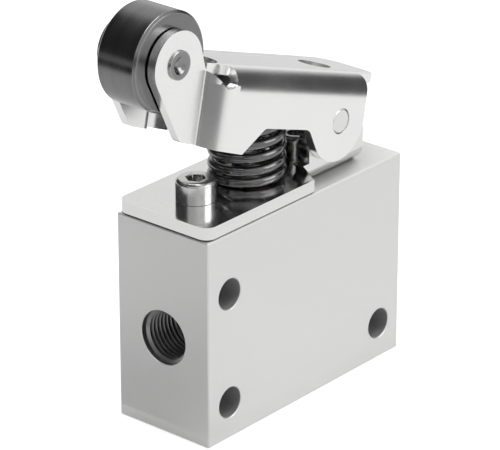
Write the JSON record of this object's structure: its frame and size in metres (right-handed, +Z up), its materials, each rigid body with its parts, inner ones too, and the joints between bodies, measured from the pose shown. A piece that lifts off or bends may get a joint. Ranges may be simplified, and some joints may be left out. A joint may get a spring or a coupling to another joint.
{
  "type": "one-way flow control valve",
  "caption": "Roller-lever one-way flow control valve: pressing the lever throttles flow one way through the ported block, and a spring check ring lets it back freely.",
  "frame": {"origin": "centre of the valve body's base", "axes": "+X along the body away from the roller end, +Y from the front face to the back face, +Z up the plunger"},
  "size_m": [0.0619, 0.02, 0.0769],
  "materials": {
    "anodised_body": "satin anodised",
    "bright_plate": "polished",
    "screw_steel": "zinc plated",
    "bush_brass": "turned",
    "seal_rubber": "matt",
    "sleeve_brass": "turned",
    "gasket_fibre": "matt",
    "check_brass": "turned",
    "fine_spring_steel": "drawn wire",
    "stem_steel": "ground",
    "clip_steel": "blackened",
    "cap_steel": "turned",
    "spring_wire": "blackened, glossy",
    "lever_steel": "polished",
    "pin_steel": "ground",
    "axle_steel": "turned",
    "washer_steel": "plain",
    "roller_steel": "dark turned"
  },
  "bodies": {
    "housing": {"valve_body": "anodised_body", "bearing_plate": "bright_plate", "plate_screws": "screw_steel", "guide_bush": "bush_brass", "stem_seal": "seal_rubber", "bush_seal": "seal_rubber", "seat_sleeve": "sleeve_brass", "sleeve_gasket": "gasket_fibre", "check_spring": "fine_spring_steel", "return_spring": "spring_wire"},
    "lever": {"roller_lever": "lever_steel", "pivot_pin": "pin_steel", "roller_axle": "axle_steel", "near_roller_washer": "washer_steel", "far_roller_washer": "washer_steel"},
    "wheel": {"roller": "roller_steel"},
    "plunger": {"plunger_stem": "stem_steel", "stem_clip": "clip_steel", "spring_cap": "cap_steel"},
    "check": {"check_ring": "check_brass", "check_seal": "seal_rubber"}
  },
  "joints": [
    {"name": "lever_press", "type": "hinge", "parent": "housing", "child": "lever", "pos_m": [0.01, 0, 0.0478], "axis": [0, -1, 0], "range_deg": [0, 13], "stiffness_Nm_per_rad": 1.69, "springref_deg": -12.61},
    {"name": "roller_spin", "type": "hinge", "parent": "lever", "child": "wheel", "pos_m": [-0.02788, 0, 0.06838], "axis": [0, 1, 0], "continuous": true},
    {"name": "plunger_travel", "type": "slide", "parent": "housing", "child": "plunger", "axis": [0, 0, -1], "range_m": [0, 0.0031], "deforming": ["return_spring"]},
    {"name": "check_lift", "type": "slide", "parent": "housing", "child": "check", "axis": [0, 0, -1], "range_m": [0, 0.0025], "stiffness_N_per_m": 600, "springref_m": -0.001, "deforming": ["check_spring"]}
  ],
  "couplings": [
    {"joint": "plunger_travel", "follows": "lever_press", "m_per_rad": 0.01365}
  ]
}
